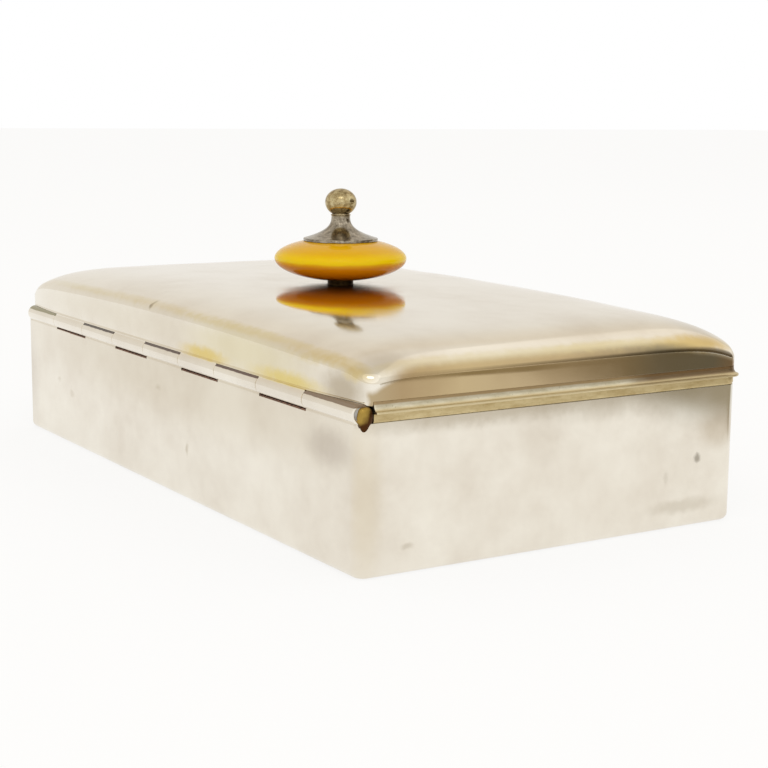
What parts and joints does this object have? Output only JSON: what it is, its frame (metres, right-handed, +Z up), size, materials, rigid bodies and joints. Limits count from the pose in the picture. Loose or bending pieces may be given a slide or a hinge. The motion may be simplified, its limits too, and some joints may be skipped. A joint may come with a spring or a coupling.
{
  "type": "cigarette box",
  "caption": "Rectangular silver-plated table cigarette box with a domed hinged lid, a turned amber knob and a cedar lining with a divider.",
  "frame": {"origin": "centre of the body's underside, at the middle of the base plate", "axes": "+X along the length of the box, -Y towards the front edge of the lid, +Y towards the hinge, +Z up"},
  "size_m": [0.167, 0.092, 0.0645],
  "materials": {
    "silver_plate": "polished silver plate, hand worn, with fine scratches",
    "worn_plate_brass": "plate worn through to brass",
    "dark_brass": "tarnished dark",
    "tarnished_silver": "turned and plated, tarnished",
    "amber_resin": "polished amber-coloured cast resin",
    "steel": "plain turned steel",
    "cedar": "bare planed cedar"
  },
  "bodies": {
    "box": {"body_shell": "silver_plate", "base_plate": "silver_plate", "body_rim": "worn_plate_brass", "body_knuckle_1": "silver_plate", "body_knuckle_2": "silver_plate", "body_knuckle_3": "silver_plate", "body_knuckle_4": "silver_plate", "body_knuckle_5": "silver_plate", "hinge_pin": "steel", "lining_floor": "cedar", "lining_front": "cedar", "lining_back": "cedar", "lining_left": "cedar", "lining_right": "cedar", "lining_divider": "cedar"},
    "lid": {"lid_shell": "silver_plate", "lid_moulding": "worn_plate_brass", "lid_knuckle_1": "silver_plate", "lid_knuckle_2": "silver_plate", "lid_knuckle_3": "silver_plate", "lid_knuckle_4": "silver_plate", "knob_collar": "dark_brass", "knob_disc": "amber_resin", "knob_finial": "tarnished_silver", "knob_stud": "steel", "knob_washer": "steel", "knob_nut": "steel"}
  },
  "joints": [
    {"name": "lid_hinge", "type": "hinge", "parent": "box", "child": "lid", "pos_m": [0, 0.0441, 0.0299], "axis": [-1, 0, 0], "range_deg": [0, 105]}
  ]
}
